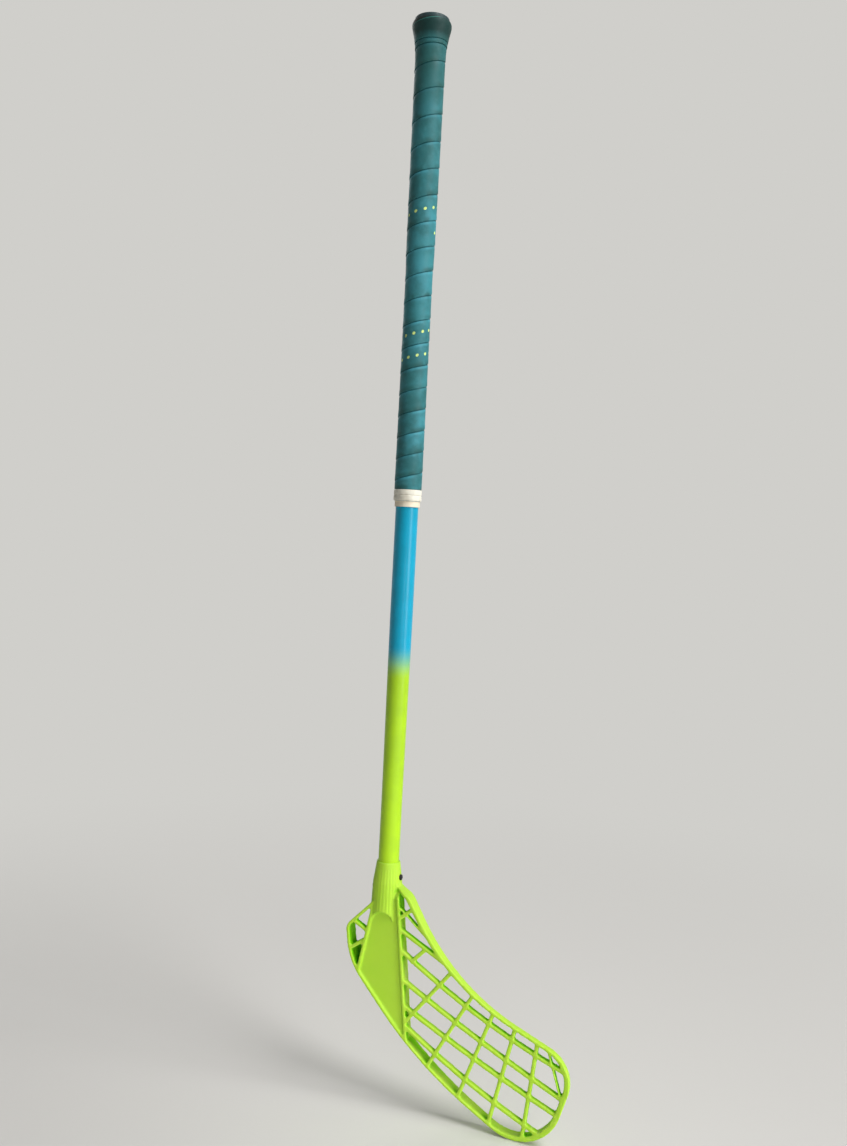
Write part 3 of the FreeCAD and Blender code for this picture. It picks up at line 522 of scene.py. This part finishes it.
def moulded_plastic(look):
    """Satin plastic: fine moulded skin, faint flow marks, painted shade in its recesses, painted highlight
    and wear along its edges, scuffs towards the edge that meets the floor.
    """
    material, tree, shader, place = finish(
        "blade_plastic", IOR=1.5, Specular_IOR_Level=0.1, Subsurface_Weight=0.25, Subsurface_Scale=0.002,
        Subsurface_Radius=(0.7, 1.0, 0.1))
    parts, _ = heights(tree, place)
    flow = ramp(tree, noise(tree, place, 34, 3.0), 0.35, 0.7, 0.0, 0.16)
    tint = mixed(tree, flow, look.plastic, written(140, 200, 30))
    sheltered, edge = read_marks(tree, BLADE_MARKS)
    # Painted shade where the blade shelters a point, in a deep green as if lit through the plastic's walls.
    tint = mixed(tree, ramp(tree, sheltered, 0.08, 0.4, 0.0, 0.95), tint, look.recess_shade)
    # Painted highlight and wear along the edges that stand out, in a paler colour.
    tint = mixed(tree, ramp(tree, edge, 0.15, 0.8, 0.0, 0.6), tint, look.rubbed)
    low = ramp(tree, parts[2], FLOOR + 0.075, FLOOR + 0.004)
    streaked = node(tree, "ShaderNodeMapping", {
        "Vector": place, "Rotation": (0, 0.6, 0), "Scale": (160, 160, 1500)}).outputs[0]
    marks = ramp(tree, noise(tree, streaked, 1.0, 4.0, 0.65), 0.56, 0.72)
    scuffs = sums(tree, "MULTIPLY", sums(tree, "MULTIPLY", marks, low), 0.6)
    tint = mixed(tree, scuffs, tint, look.scuff)
    skin = noise(tree, place, 3400, 2.0)
    relief = bumped(tree, noise(tree, place, 150, 2.0), 0.0004, 0.12)
    relief = bumped(tree, skin, 0.00006, 0.3, relief)
    gloss = sums(tree, "ADD", ramp(tree, noise(tree, place, 240, 3.0), 0.3, 0.7, 0.34, 0.46), scuffs)
    gloss = sums(tree, "ADD", gloss, ramp(tree, sheltered, 0.05, 0.25, 0.0, 0.5))
    joined(tree, shader, Base_Color=tint, Roughness=gloss, Normal=relief)
    return material


def black_steel(look):
    """Blackened steel with bare metal where a driver has rubbed it."""
    material, tree, shader, place = finish("black_screw", IOR=1.5, Specular_IOR_Level=0.5)
    bare = ramp(tree, noise(tree, place, 900, 5.0), 0.62, 0.75)
    tint = mixed(tree, bare, look.screw, written(92, 92, 90))
    gloss = ramp(tree, noise(tree, place, 1500), 0.3, 0.7, 0.32, 0.5)
    joined(tree, shader, Base_Color=tint, Roughness=gloss, Metallic=ramp(tree, bare, 0, 1, 0.35, 0.9))
    return material


# Form of the grip

# Tape over foam and tube: depth below its top edge, radius
GRIP_FORM = (
    (0.0, 0.0190), (0.003, 0.01975), (0.0095, 0.0183), (0.0145, 0.0170), (0.0185, 0.0163), (0.025, 0.0155),
    (0.034, 0.0150), (0.224, 0.0140), (0.244, 0.0134), (GRIP_LENGTH, 0.0134),
)
# Length up and down over which the corners of that form are evened out, and the room that it has for the tape
FORM_EASE = 0.0024
TAPE_ROOM = 0.0019

# Turns over which the advance of the winding goes from its first value to its last
WINDING_TURNS = 18


def under_tape(depth):
    """Radius of what the tape is wound on, at a depth below the top of the grip."""
    depths, radii = np.transpose(GRIP_FORM)
    near = np.linspace(-FORM_EASE, FORM_EASE, 9)
    return np.mean([np.interp(depth + step, depths, radii) for step in near], axis=0) - TAPE_ROOM


def line_depth(turn, look):
    """Depth of the winding's line after some turns: level above the knob's foot, then falling."""
    later = np.maximum(turn, 0)
    wound = later - look.lead * (1 - np.exp(-later / look.lead))
    swing = math.pi / WINDING_TURNS
    even = (look.advance_top + look.advance_end) / 2 * wound
    early = (look.advance_top - look.advance_end) / 2 * np.sin(swing * wound) / swing
    falling = look.first_line + even + early
    return falling + look.ring_line * np.minimum(turn, 0)


class STICK_OT_shaft(bpy.types.Operator):
    """Lacquers the CAD shaft"""
    bl_idname = "stick.shaft"
    bl_label = "Shaft"

    def execute(self, context):
        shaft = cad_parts["shaft"]
        shaft.data.materials.clear()
        shaft.data.materials.append(lacquer(context.scene.stick_shaft))
        return {"FINISHED"}


class STICK_OT_cap(bpy.types.Operator):
    """Turns the rubber butt cap with its hollow plug"""
    bl_idname = "stick.cap"
    bl_label = "Butt cap"

    def execute(self, context):
        low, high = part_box("butt_cap")
        flange = high.x
        seat = GRIP_TOP + 0.0003
        plug, wall = 0.00945, 0.002
        groove, groove_round = 0.0004, 0.0003
        profile = rounded([
            (0, 0, 0),
            (flange * 0.52, 0, 0),
            (flange * 0.55, -groove, groove_round),
            (flange * 0.60, -groove, groove_round),
            (flange * 0.63, 0, 0),
            (flange, 0, 0.0018),
            (flange, seat, 0.0006),
            (plug, seat, 0.0004),
            (plug, low.z, 0.0008),
            (plug - wall, low.z, 0.0005),
            (plug - wall, seat, 0.001),
            (0, seat, 0),
        ])
        cap = turned("rubber_butt_cap", profile)
        dressed(cap, "butt_cap", "butt_cap", rubber(context.scene.stick_fittings))
        return {"FINISHED"}


class STICK_OT_foam(bpy.types.Operator):
    """Turns the foam sleeve below the tape"""
    bl_idname = "stick.foam"
    bl_label = "Grip foam"

    def execute(self, context):
        knob_end, end = 0.04, GRIP_TOP - FOAM_END
        depths = np.concatenate([np.linspace(0, knob_end, 41), np.linspace(knob_end + 0.004, end, 36)])
        outside = [(float(under_tape(depth)), GRIP_TOP - float(depth)) for depth in depths]
        sleeve = turned("foam_sleeve", [(SLEEVE, GRIP_TOP), *outside, (SLEEVE, FOAM_END)])
        dressed(sleeve, "stick", "grip_underlay", foam(context.scene.stick_grip))
        return {"FINISHED"}


# Winding of the tape, in turns: its start, how far it runs on past its last line, and how soon before that
# line it is laid flat
WINDING_START, RUN_OUT, FLATTENING = -1.25, 0.8, 0.2

# Widths across the tape: the least turn that has them in full, the climb on to the turn below, the rise to
# the lower edge, the crest along it, the rounding of that edge, the slack under it and the fade of the upper
# margin
FULL_WIDTH = 0.010
CLIMB, RISE, CREST, EDGE, SLACK, MARGIN_FADE = 0.0025, 0.0072, 0.002, 0.00045, 0.0003, 0.0019

# Droop of the tape's top edge, the width that it takes, and the clearance under the tape
TOP_DROOP, TOP_ROUND, TAPE_CLEAR = 0.00035, 0.0014, 0.00005

# Radius at which the tape's length is measured, and the distance noted where no line lies above the tape
TAPE_RADIUS, NO_LINE = 0.0136, 0.01


class STICK_OT_tape(bpy.types.Operator):
    """Winds the grip tape, each turn lapped over the one below it"""
    bl_idname = "stick.tape"
    bl_label = "Grip tape"

    def execute(self, context):
        look = context.scene.stick_grip
        enough = 30
        turns = np.linspace(0, enough, enough * 100 + 1)
        full = float(np.interp(GRIP_LENGTH, line_depth(turns, look), turns))
        stop = full + RUN_OUT
        turn = np.linspace(WINDING_START, stop, round((stop - WINDING_START) * look.stations) + 1)
        top_turn = turn < WINDING_START + 1
        lower = np.minimum(line_depth(turn, look), GRIP_LENGTH)
        upper = np.where(top_turn, 0, line_depth(turn - 1, look))
        lifted = 1 - eased(turn, full - FLATTENING, full)
        outer, inner = self.layers(look, turn, upper, lower, lifted)
        columns = outer + inner

        angle = -2 * math.pi * turn
        sections = np.stack([
            ringed(under_tape(depth) + height, angle, GRIP_TOP - depth) for depth, height in columns], axis=1)
        tape = swept("wound_grip_tape", sections, sharp=50)

        depths = np.stack([depth for depth, _ in columns], axis=1)
        along = np.concatenate([[0], np.cumsum(np.diff(turn) * 2 * math.pi * TAPE_RADIUS)])
        printed = np.zeros(depths.shape)
        for first, last in (look.first_print, look.second_print):
            printed[(turn >= first) & (turn <= last), :len(outer)] = 1
        keep_marks(tape.data, TAPE_MARKS, (
            np.repeat(along, len(columns)),
            depths - upper[:, None] + np.where(top_turn, NO_LINE, 0)[:, None],
            lower[:, None] - depths,
            printed,
        ))
        dressed(tape, "stick", "grip_tape", wrap(look))
        return {"FINISHED"}

    @staticmethod
    def layers(look, turn, upper, lower, lifted):
        """Depth and height of the tape's outside, from its upper edge down, and of its inside, back up."""
        top_turn = np.where(turn < WINDING_START + 1, 1, 0)
        above = np.where(turn < WINDING_START + 2, 0, line_depth(turn - 2, look))
        width = np.clip((lower - upper) / FULL_WIDTH, 0.05, 1)
        above_width = np.clip((upper - above) / FULL_WIDTH, 0.05, 1)
        hidden = np.where(top_turn, 0, upper - look.overlap * above_width)
        lap, climb, rise, crest, edge = (part * width for part in (look.overlap, CLIMB, RISE, CREST, EDGE))

        def raised(depth, low, high):
            """Share of a layer that the tape is lifted by, from the distance to its lower edge."""
            return (1 - eased(lower - depth, low, high)) * lifted

        depths = [hidden, upper]
        depths += [upper + (lower - rise - upper) * share for share in (0.06, 0.15, 0.35, 0.55, 0.78)]
        depths += [lower - rise + (rise - crest) * share for share in (0, 0.2, 0.4, 0.6, 0.8, 1)]
        depths += [lower - edge - (crest - edge) * 0.5]
        outer = []
        for depth in depths:
            past_lap = np.maximum(top_turn, eased(depth - upper, 0, MARGIN_FADE * width))
            height = look.margin + (look.layer - look.margin) * past_lap
            height = height + (look.crest - look.layer) * raised(depth, crest, rise)
            droop = top_turn * TOP_DROOP * (1 - eased(depth, 0, TOP_ROUND))
            outer.append((depth, height - droop))
        for share in (0, 0.35, 0.7, 0.93):
            bend = share * math.pi / 2
            depth = lower - edge * (1 - math.sin(bend))
            height = look.layer + (look.crest - look.layer) * lifted - edge * (1 - math.cos(bend))
            outer.append((depth, height))

        foot = lower - lap - climb
        depths = [lower, lower - lap * 0.5, lower - lap - SLACK * width]
        depths += [lower - lap - climb * share for share in (0.4, 0.7, 1.0)]
        depths += [np.minimum(foot, upper + (foot - upper) * 0.5), hidden]
        inner = []
        for depth in depths:
            depth = np.maximum(depth, hidden)
            inner.append((depth, TAPE_CLEAR + look.margin * raised(depth, lap + SLACK, lap + climb)))
        return outer, inner


class STICK_OT_ring(bpy.types.Operator):
    """Turns the pale rubber ring, with a groove round its middle"""
    bl_idname = "stick.ring"
    bl_label = "Grip ring"

    def execute(self, context):
        look = context.scene.stick_fittings
        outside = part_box("grip_ring")[1].x
        middle = (RING_TOP + RING_END) / 2
        half = (RING_TOP - RING_END) / 2
        steps, fullness, bevel = 16, 0.45, 0.0002
        swells = {}
        for centre in (middle + half / 2, middle - half / 2):
            for step in range(steps + 1):
                bend = math.pi * (0.5 - step / steps)
                swell = max(math.cos(bend), 0) ** fullness
                height = centre + half / 2 * math.sin(bend)
                swells[round(height, 6)] = (outside - look.groove * (1 - swell), height)
        bore = [(SLEEVE, RING_END + bevel), (SLEEVE, RING_TOP - bevel)]
        ring = turned("grooved_ring", [*bore, *swells.values()])
        tone = cream("ring_rubber", look.ring, written(176, 166, 140), 2200, 0.38, 0.55)
        dressed(ring, "stick", "grip_ring", tone)
        return {"FINISHED"}


class STICK_OT_film(bpy.types.Operator):
    """Winds the narrow finishing tape below the ring"""
    bl_idname = "stick.film"
    bl_label = "Finishing tape"

    def execute(self, context):
        look = context.scene.stick_fittings
        layer_gap, uneven, loose_end, stations = 0.00002, 0.0001, 0.9, 96
        turn = np.linspace(0, look.film_turns, round(look.film_turns * stations) + 1)
        inside = SLEEVE + turn * (look.film_thick + layer_gap)
        outside = inside + look.film_thick
        corner = look.film_thick * 0.3
        skew = uneven * np.sin(turn * 5)
        top = FINISH_TOP - uneven + skew
        low = FINISH_END + uneven + skew
        rows = [
            (inside, top), (outside - corner, top), (outside, top - corner),
            (outside, low + corner), (outside - corner, low), (inside, low),
            (inside, low * 0.66 + top * 0.34), (inside, low * 0.34 + top * 0.66),
        ]
        angle = 2 * math.pi * turn + loose_end
        sections = np.stack([ringed(radius, angle, height) for radius, height in rows], axis=1)
        film = swept("wound_finishing_tape", sections)
        tone = cream("finishing_film", look.film, written(150, 140, 112), 1400, 0.5, 0.68)
        dressed(film, "stick", "finishing_tape", tone)
        return {"FINISHED"}


# Outside of the blade's socket: length of its flare, radii at its foot, below the flare and at its mouth
SOCKET_FLARE = 0.02
SOCKET_RADII = (0.0151, 0.0141, 0.0113)
SOCKET_BORE = 0.0102

# Start of the blade's upper rim: heights between which it leaves the spine, how far out it is level with the
# socket's side, how far out it has come forward, and how far forward that is
RIM_START = (-0.8495, -0.8445)
RIM_SIDE, RIM_FREE, RIM_FRONT = 0.0125, 0.020, 0.0122


def socket_radius(height):
    """Radius of the socket's outside at a height."""
    return np.interp(height, (SOCKET_FOOT, MOUTH - SOCKET_FLARE, MOUTH), SOCKET_RADII)


class STICK_OT_blade(bpy.types.Operator):
    """Rebuilds the moulded blade with soft edges and flutes round its socket"""
    bl_idname = "stick.blade"
    bl_label = "Blade"

    def execute(self, context):
        look = context.scene.stick_blade
        blade = self.rebuilt(context, look)
        self.cut_flutes(blade.data, look)
        blade.data.shade_smooth()
        self.mark_relief(blade.data)
        dressed(blade, "stick", "blade", moulded_plastic(look))
        return {"FINISHED"}

    def rebuilt(self, context, look):
        """The blade with its surface rebuilt in small cells and its edges softened."""
        rough = self.prepared()
        blade = bpy.data.objects.new("moulded_blade", rough)
        context.scene.collection.objects.link(blade)
        cells = blade.modifiers.new("cells", "REMESH")
        cells.mode = "VOXEL"
        cells.voxel_size = look.cell
        soft = blade.modifiers.new("soft", "SMOOTH")
        soft.factor = 0.5
        soft.iterations = look.rounds
        made = bpy.data.meshes.new_from_object(blade.evaluated_get(context.evaluated_depsgraph_get()))
        blade.modifiers.clear()
        blade.data = made
        bpy.data.meshes.remove(rough)
        made.name = "moulded_blade"
        return blade

    def prepared(self):
        """A copy of the CAD mesh with a plain socket and the start of its upper rim drawn back."""
        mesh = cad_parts["blade"].data.copy()
        weld = bmesh.new()
        weld.from_mesh(mesh)
        bmesh.ops.remove_doubles(weld, verts=weld.verts, dist=0.000002)
        for level in RIM_START:
            everything = [*weld.verts, *weld.edges, *weld.faces]
            bmesh.ops.bisect_plane(
                weld, geom=everything, dist=1e-7, plane_co=(0, 0, level), plane_no=(0, 0, 1))
        for vert in weld.verts:
            self.smooth_socket(vert.co)
            self.draw_back_rim(vert.co)
        weld.to_mesh(mesh)
        weld.free()
        return mesh

    @staticmethod
    def smooth_socket(place):
        """Brings a point on the socket's CAD flutes out to the socket's plain outside."""
        flute_room = 0.00045
        low, high = SOCKET_FOOT - 0.0001, MOUTH - 0.019
        out = math.hypot(place.x, place.y)
        full = float(socket_radius(place.z))
        if low < place.z < high and full - flute_room < out < full:
            place.x *= full / out
            place.y *= full / out

    @staticmethod
    def draw_back_rim(place):
        """Draws back the start of the upper rim, so that it leaves the socket at its side."""
        nearest, sunk = 0.004, 0.0002
        share = float(np.interp(place.z, RIM_START, (0, 1)))
        if share == 0 or not nearest < place.x < RIM_FREE:
            return
        full = float(socket_radius(place.z)) - sunk
        front = math.sqrt(max(full ** 2 - min(place.x, RIM_SIDE) ** 2, 0))
        front += (RIM_FRONT - front) * max(place.x - RIM_SIDE, 0) / (RIM_FREE - RIM_SIDE)
        place.y += max(-front - place.y, 0) * share

    @staticmethod
    def cut_flutes(mesh, look):
        """Cuts flutes round the socket, and brings its bore out to clear the shaft."""
        points = vectors(mesh, "co")
        out = np.hypot(points[:, 0], points[:, 1])
        high = points[:, 2]
        turn = np.arctan2(points[:, 1], points[:, 0])
        near = 0.0006
        skin = out > socket_radius(high) - near
        skin &= out < socket_radius(high) + near
        run_in = eased(high, SOCKET_FOOT - 0.001, SOCKET_FOOT + 0.004)
        run_out = 1 - eased(high, MOUTH - 0.007, MOUTH - 0.003)
        wave = np.clip(np.cos(turn * look.flutes), 0, 1) ** 2
        cut = np.where(skin, look.flute_depth * wave * (run_in * run_out), 0)
        inside = (high > SHAFT_END + 0.0005) & (out < SOCKET_BORE)
        wanted = np.where(inside, SOCKET_BORE, out - cut)
        points[:, :2] *= (wanted / np.maximum(out, 1e-6))[:, None]
        mesh.vertices.foreach_set("co", points.ravel())
        mesh.update()

    @staticmethod
    def mark_relief(mesh):
        """Notes how far the blade shelters each of its points, and how sharp an edge each is on."""
        count = len(mesh.vertices)
        pairs = np.empty(len(mesh.edges) * 2, np.int32)
        mesh.edges.foreach_get("vertices", pairs)
        first, second = pairs.reshape(-1, 2).T
        ties = np.bincount(first, minlength=count) + np.bincount(second, minlength=count)

        def around(values):
            """Mean of the values at the points next to each point."""
            ahead, back = np.bincount(first, values[second], count), np.bincount(second, values[first], count)
            return (ahead + back) / ties

        points, outward = (vectors(mesh, name).astype(float) for name in ("co", "normal"))
        near = np.stack([around(points[:, axis]) for axis in range(3)], axis=1)
        sharpest, lift = 0.0003, 0.0003
        edge = np.sum((points - near) * outward, axis=1) / sharpest
        edge = (edge + around(edge)) / 2

        shape = bmesh.new()
        shape.from_mesh(mesh)
        tree = BVHTree.FromBMesh(shape)
        shape.free()
        rays, reach, rounds = 6, 0.06, 5
        upright, aside = 0.75, 0.66
        slanted = (0.36, 0.48, 0.8)
        side = np.cross(outward, slanted)
        side /= np.maximum(np.linalg.norm(side, axis=1), 1e-6)[:, None]
        other = np.cross(outward, side)
        start = points + outward * lift
        shelter = np.zeros(count)
        for ray in range(rays):
            bend = 2 * math.pi * ray / rays
            way = outward * upright + (side * math.cos(bend) + other * math.sin(bend)) * aside
            for index in range(count):
                distance = tree.ray_cast(Vector(start[index]), Vector(way[index]), reach)[3]
                if distance is not None:
                    shelter[index] += (1 - distance / reach) / rays
        for _ in range(rounds):
            shelter = (shelter + around(shelter)) / 2
        keep_marks(mesh, BLADE_MARKS, (shelter, edge))


class STICK_OT_screws(bpy.types.Operator):
    """Blackens the CAD blade screws"""
    bl_idname = "stick.screws"
    bl_label = "Blade screws"

    def execute(self, context):
        steel = black_steel(context.scene.stick_fittings)
        for name in ("toe_side_screw", "heel_side_upper_screw", "heel_side_lower_screw"):
            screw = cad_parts[name]
            screw.data.materials.clear()
            screw.data.materials.append(steel)
        return {"FINISHED"}


# Lamps: place in the room, width and height, point that they look at, spread of the beam in degrees
STICK_MIDDLE = (0.02, 0, -0.62)
LAMPS = {
    "key": ((2.35, -1.55, 3.0), (2.2, 2.2), STICK_MIDDLE, 180),
    "fill": ((1.9, -1.42, -0.2), (0.8, 1.6), STICK_MIDDLE, 180),
    "low": ((0.35, -1.2, -0.75), (0.45, 0.45), (0.07, 0, FLOOR + 0.05), 36),
    "rear": ((-0.6, 1.7, 0.6), (1.4, 1.4), STICK_MIDDLE, 180),
}

# The photograph's view: its height, the focal length and the shift of its middle in pixels, the sine and
# cosine of its roll, and the camera's place in the room
PHOTO_HEIGHT, PHOTO_LENS, PHOTO_SHIFT = 1146, 1100, -43
PHOTO_ROLL = (0.0519, 0.99865)
PHOTO_PLACE = (0.0171, -1.068, -0.4956)
SENSOR = 36


class STICK_OT_stage(bpy.types.Operator):
    """Sets up the floor, the light and the camera"""
    bl_idname = "stick.stage"
    bl_label = "Stage"

    def execute(self, context):
        look = context.scene.stick_stage
        context.scene.view_settings.view_transform = "Standard"
        self.lay_floor(look)
        self.set_world(context.scene, look)
        room = Matrix.Rotation(look.turn, 3, "Z")
        for name, (place, size, target, spread) in LAMPS.items():
            self.hang_lamp(name, getattr(look, name), room @ Vector(place), size, Vector(target), spread)
        self.set_camera(context.scene, room)
        return {"FINISHED"}

    @staticmethod
    def lay_floor(look):
        """A plain floor that the blade stands on, in the backdrop's tone where it is seen far off."""
        reach, gap = 14, 0.0004
        near, far = 0.22, 1.3
        floor_level = FLOOR - gap
        corners = [(-reach, -reach), (reach, -reach), (reach, reach), (-reach, reach)]
        floor = added("floor", [(x, y, floor_level) for x, y in corners], [(0, 1, 2, 3)])
        material, tree, shader, place = finish("plain_floor", IOR=1.4, Specular_IOR_Level=0.15)
        speckle = ramp(tree, noise(tree, place, 300, 4.0), 0.3, 0.7, 0.0, 0.05)
        tint = mixed(tree, speckle, look.floor, written(198, 196, 190))
        gloss = ramp(tree, noise(tree, place, 40), 0.3, 0.7, 0.75, 0.85)
        joined(tree, shader, Base_Color=tint, Roughness=gloss)
        away = node(tree, "ShaderNodeVectorMath", {0: place, 1: (0, 0, floor_level)}, operation="DISTANCE")
        faded = ramp(tree, away.outputs["Value"], near, far)
        plain = node(tree, "ShaderNodeEmission", {"Color": (*look.backdrop, 1), "Strength": 1.0})
        share = sums(tree, "MULTIPLY", faded, seen_rays(tree))
        both = node(tree, "ShaderNodeMixShader", {0: share, 1: shader.outputs[0], 2: plain.outputs[0]})
        tree.links.new(both.outputs[0], tree.nodes["Material Output"].inputs["Surface"])
        floor.data.materials.append(material)

    @staticmethod
    def set_world(scene, look):
        """Even light from all round, with a plain pale backdrop for what the camera and gloss see."""
        world = bpy.data.worlds.new("studio")
        scene.world = world
        world.use_nodes = True
        tree = world.node_tree
        seen = seen_rays(tree)
        light = node(tree, "ShaderNodeBackground", {"Color": (1, 1, 1, 1), "Strength": look.ambient})
        backdrop = node(tree, "ShaderNodeBackground", {"Color": (*look.backdrop, 1), "Strength": 1.0})
        both = node(tree, "ShaderNodeMixShader", {0: seen, 1: light.outputs[0], 2: backdrop.outputs[0]})
        tree.links.new(both.outputs[0], tree.nodes["World Output"].inputs["Surface"])

    @staticmethod
    def hang_lamp(name, watts, place, size, target, spread):
        """A soft rectangular lamp that looks at a point, with a beam of some degrees."""
        lamp = bpy.data.lights.new(name, "AREA")
        lamp.shape = "RECTANGLE"
        lamp.size, lamp.size_y = size
        lamp.energy = watts
        lamp.spread = math.radians(spread)
        hung = bpy.data.objects.new(name, lamp)
        hung.location = place
        hung.rotation_euler = (target - place).to_track_quat("-Z", "Y").to_euler()
        bpy.context.scene.collection.objects.link(hung)

    @staticmethod
    def set_camera(scene, room):
        """The photograph's view: level with the foot of the grip, rolled by 3 degrees."""
        view = bpy.data.cameras.new("photo_view")
        view.sensor_width = SENSOR
        view.lens = SENSOR * PHOTO_LENS / PHOTO_HEIGHT
        view.shift_y = PHOTO_SHIFT / PHOTO_HEIGHT
        view.clip_start, view.clip_end = 0.05, 100
        roll = math.atan2(*PHOTO_ROLL)
        right = room @ Vector((math.cos(roll), 0, math.sin(roll)))
        up = room @ Vector((-math.sin(roll), 0, math.cos(roll)))
        back = room @ Vector((0, -1, 0))
        camera = bpy.data.objects.new("photo_view", view)
        turn = Matrix((right, up, back)).transposed().to_4x4()
        camera.matrix_world = Matrix.Translation(room @ Vector(PHOTO_PLACE)) @ turn
        scene.collection.objects.link(camera)
        scene.camera = camera


class STICK_PT_panel(bpy.types.Panel):
    """Sizes, colours and steps of the stick"""
    bl_idname = "STICK_PT_panel"
    bl_label = "Floorball Stick"
    bl_space_type = "VIEW_3D"
    bl_region_type = "UI"
    bl_category = "Stick"

    def draw(self, context):
        for operator in OPERATORS:
            self.layout.operator(operator.bl_idname)
        for group in SETTINGS:
            settings = getattr(context.scene, group)
            box = self.layout.box()
            for name in settings.bl_rna.properties.keys():
                if name not in ("rna_type", "name"):
                    box.prop(settings, name)


OPERATORS = (
    STICK_OT_shaft, STICK_OT_cap, STICK_OT_foam, STICK_OT_tape, STICK_OT_ring, STICK_OT_film, STICK_OT_blade,
    STICK_OT_screws, STICK_OT_stage,
)
SETTINGS = {
    "stick_shaft": ShaftSettings,
    "stick_grip": GripSettings,
    "stick_fittings": FittingSettings,
    "stick_blade": BladeSettings,
    "stick_stage": StageSettings,
}


def register():
    for group in SETTINGS.values():
        bpy.utils.register_class(group)
    for name, group in SETTINGS.items():
        setattr(bpy.types.Scene, name, PointerProperty(type=group))
    for operator in OPERATORS:
        bpy.utils.register_class(operator)
    bpy.utils.register_class(STICK_PT_panel)


def unregister():
    bpy.utils.unregister_class(STICK_PT_panel)
    for operator in reversed(OPERATORS):
        bpy.utils.unregister_class(operator)
    for name, group in reversed(SETTINGS.items()):
        delattr(bpy.types.Scene, name)
        bpy.utils.unregister_class(group)


def main():
    """Builds every piece and the stage."""
    register()
    bpy.ops.stick.shaft()
    bpy.ops.stick.cap()
    bpy.ops.stick.foam()
    bpy.ops.stick.tape()
    bpy.ops.stick.ring()
    bpy.ops.stick.film()
    bpy.ops.stick.blade()
    bpy.ops.stick.screws()
    bpy.ops.stick.stage()


if __name__ == "__main__":
    main()
